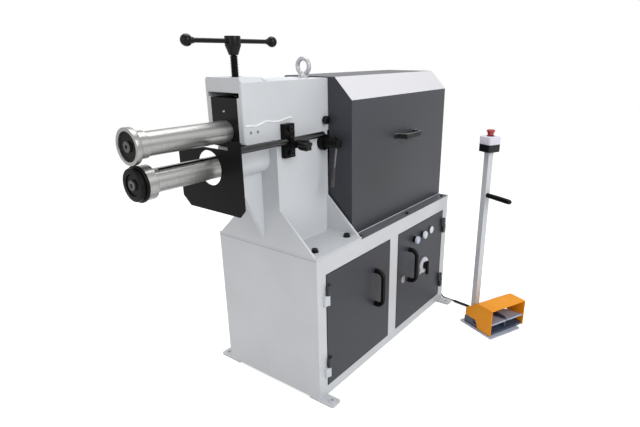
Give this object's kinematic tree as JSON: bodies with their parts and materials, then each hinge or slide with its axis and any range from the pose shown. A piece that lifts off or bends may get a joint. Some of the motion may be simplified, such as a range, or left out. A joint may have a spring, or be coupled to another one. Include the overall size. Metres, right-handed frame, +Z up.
{
  "type": "electric beading machine",
  "caption": "Floor-standing powered beading machine: two geared roller shafts on an arm over a cabinet, screw pressure, depth gauge, hooded drive and a foot-switch pedestal.",
  "frame": {"origin": "on the floor, midway between the four floor-bolt holes", "axes": "+X along the shafts, away from the rollers; +Y from the doors to the back; +Z up"},
  "size_m": [2.071, 1.2929, 1.6855],
  "materials": {
    "light_paint": "fine-textured light grey enamel",
    "dark_paint": "fine-textured slate grey powder coat",
    "black_oxide": "blackened steel with a low sheen",
    "steel": "ground and turned steel",
    "zinc_steel": "bright zinc plate",
    "bronze": "machined bearing bronze",
    "black_plastic": "moulded black nylon",
    "pale_plastic": "pale grey-blue moulded plastic",
    "white_plastic": "white moulded plastic",
    "orange_paint": "orange enamel",
    "pedal_grey": "grey cast treadle",
    "plate_grey": "light blue-grey plate",
    "red_plastic": "red moulded plastic",
    "motor_paint": "blue-grey enamel",
    "cable_rubber": "black flexible sheath"
  },
  "bodies": {
    "frame": {"cabinet_shell": "light_paint", "control_panel": "plate_grey", "cable_glands": "black_plastic", "hinge_bottoms": "light_paint", "head_casting": "light_paint", "flare_plates": "light_paint", "base_plate": "light_paint", "screws": "black_oxide", "lower_shaft_housing": "light_paint", "rear_hanger": "light_paint", "bronze_bushes": "bronze", "eye_bolt": "zinc_steel", "clamp_block": "black_oxide", "hood": "dark_paint", "hood_handle": "dark_paint", "gear_motor": "motor_paint", "motor_stand": "dark_paint", "pedestal_base": "plate_grey", "pedal_guard": "orange_paint", "pedal_body": "dark_paint", "pedestal_post": "light_paint", "stop_box": "pale_plastic", "post_grip": "black_plastic", "pedal_cable": "cable_rubber", "cable_sleeve": "cable_rubber"},
    "left_door": {"left_door": "dark_paint", "left_door_handle": "black_plastic"},
    "right_door": {"right_door": "dark_paint", "right_door_handle": "black_plastic", "button_collars": "black_plastic", "switch_plate": "pale_plastic", "lock_housing": "zinc_steel"},
    "left_button": {"left_button": "pale_plastic"},
    "middle_button": {"middle_button": "white_plastic"},
    "right_button": {"right_button": "white_plastic"},
    "switch_lever": {"switch_lever": "black_plastic"},
    "key_lock": {"key_lock": "zinc_steel"},
    "swing": {"front_bearing_block": "black_oxide", "swing_yoke": "light_paint", "upper_bushes": "bronze"},
    "upper_rotor": {"upper_shaft": "steel", "upper_gear": "steel", "upper_roller": "steel"},
    "output_sleeve": {"output_sleeve": "steel"},
    "lower_rotor": {"lower_shaft": "steel", "lower_gear": "steel", "lower_roller": "black_oxide"},
    "thrust_pad": {"thrust_pad": "bronze"},
    "spindle": {"spindle": "black_oxide", "spindle_handle": "black_oxide"},
    "axial_hub": {"axial_hub": "black_oxide", "axial_lever": "steel"},
    "lock_plunger": {"lock_plunger": "black_plastic"},
    "lock_knob": {"lock_knob": "black_plastic"},
    "gauge": {"gauge_plate": "black_oxide", "gauge_rod": "steel"},
    "star_knob": {"star_knob": "black_plastic"},
    "left_pedal": {"left_pedal": "pedal_grey"},
    "right_pedal": {"right_pedal": "pedal_grey"},
    "stop_button": {"stop_button": "red_plastic"}
  },
  "joints": [
    {"name": "left_door_hinge", "type": "hinge", "parent": "frame", "child": "left_door", "pos_m": [-0.6055, -0.33, 0.361], "axis": [0, 0, -1], "range_deg": [0, 110]},
    {"name": "right_door_hinge", "type": "hinge", "parent": "frame", "child": "right_door", "pos_m": [0.6055, -0.33, 0.361], "axis": [0, 0, 1], "range_deg": [0, 57]},
    {"name": "left_button_press", "type": "slide", "parent": "right_door", "child": "left_button", "axis": [0, 1, 0], "range_m": [0, 0.004], "stiffness_N_per_m": 400, "springref_m": -0.002},
    {"name": "middle_button_press", "type": "slide", "parent": "right_door", "child": "middle_button", "axis": [0, 1, 0], "range_m": [0, 0.004], "stiffness_N_per_m": 400, "springref_m": -0.002},
    {"name": "right_button_press", "type": "slide", "parent": "right_door", "child": "right_button", "axis": [0, 1, 0], "range_m": [0, 0.0025], "stiffness_N_per_m": 400, "springref_m": -0.002},
    {"name": "main_switch_turn", "type": "hinge", "parent": "right_door", "child": "switch_lever", "pos_m": [0.361, -0.35, 0.368], "axis": [0, 1, 0], "range_deg": [0, 90]},
    {"name": "key_turn", "type": "hinge", "parent": "right_door", "child": "key_lock", "pos_m": [0.108, -0.31, 0.364], "axis": [0, 1, 0], "range_deg": [0, 90]},
    {"name": "upper_shaft_swing", "type": "hinge", "parent": "frame", "child": "swing", "pos_m": [0.23, 0, 1.3145], "axis": [0, 1, 0], "range_deg": [0, 1.37]},
    {"name": "upper_shaft_spin", "type": "hinge", "parent": "swing", "child": "upper_rotor", "pos_m": [0.23, 0, 1.3145], "axis": [1, 0, 0], "continuous": true},
    {"name": "lower_shaft_spin", "type": "hinge", "parent": "frame", "child": "output_sleeve", "pos_m": [0.38, 0, 1.1785], "axis": [1, 0, 0], "continuous": true},
    {"name": "lower_shaft_shift", "type": "slide", "parent": "output_sleeve", "child": "lower_rotor", "axis": [1, 0, 0], "range_m": [-0.01, 0]},
    {"name": "spindle_lift", "type": "slide", "parent": "frame", "child": "thrust_pad", "axis": [0, 0, 1], "range_m": [0, 0.0241]},
    {"name": "spindle_turn", "type": "hinge", "parent": "thrust_pad", "child": "spindle", "pos_m": [-0.774, 0, 1.5], "axis": [0, 0, 1], "range_deg": [0, 1440]},
    {"name": "axial_lever_turn", "type": "hinge", "parent": "frame", "child": "axial_hub", "pos_m": [-0.36, -0.15, 1.215], "axis": [0, 1, 0], "range_deg": [-0.5, 60.5]},
    {"name": "plunger_pull", "type": "slide", "parent": "axial_hub", "child": "lock_plunger", "axis": [0, 0, 1], "range_m": [0, 0.006], "stiffness_N_per_m": 400, "springref_m": -0.002},
    {"name": "lock_knob_turn", "type": "hinge", "parent": "frame", "child": "lock_knob", "pos_m": [-0.341, -0.12, 1.317], "axis": [0, 1, 0], "range_deg": [0, 90]},
    {"name": "gauge_slide", "type": "slide", "parent": "frame", "child": "gauge", "axis": [1, 0, 0], "range_m": [-0.2, 0.08]},
    {"name": "star_knob_turn", "type": "hinge", "parent": "frame", "child": "star_knob", "pos_m": [-0.606, -0.19, 1.242], "axis": [0, 1, 0], "range_deg": [0, 90]},
    {"name": "left_pedal_press", "type": "hinge", "parent": "frame", "child": "left_pedal", "pos_m": [0.52863, -0.70818, 0.052], "axis": [0.9157, -0.4019, 0], "range_deg": [0, 10], "stiffness_Nm_per_rad": 14, "springref_deg": -14.32},
    {"name": "right_pedal_press", "type": "hinge", "parent": "frame", "child": "right_pedal", "pos_m": [0.52863, -0.70818, 0.052], "axis": [0.9157, -0.4019, 0], "range_deg": [0, 10], "stiffness_Nm_per_rad": 14, "springref_deg": -14.32},
    {"name": "stop_press", "type": "slide", "parent": "frame", "child": "stop_button", "axis": [0, 0, -1], "range_m": [0, 0.005]}
  ],
  "couplings": [
    {"joint": "spindle_lift", "follows": "spindle_turn", "m_per_rad": 0.00095493},
    {"joint": "upper_shaft_swing", "follows": "spindle_turn", "ratio": 0.00095113},
    {"joint": "upper_shaft_spin", "follows": "lower_shaft_spin", "ratio": -1},
    {"joint": "axial_lever_turn", "follows": "lower_shaft_shift", "rad_per_m": -104.72}
  ]
}
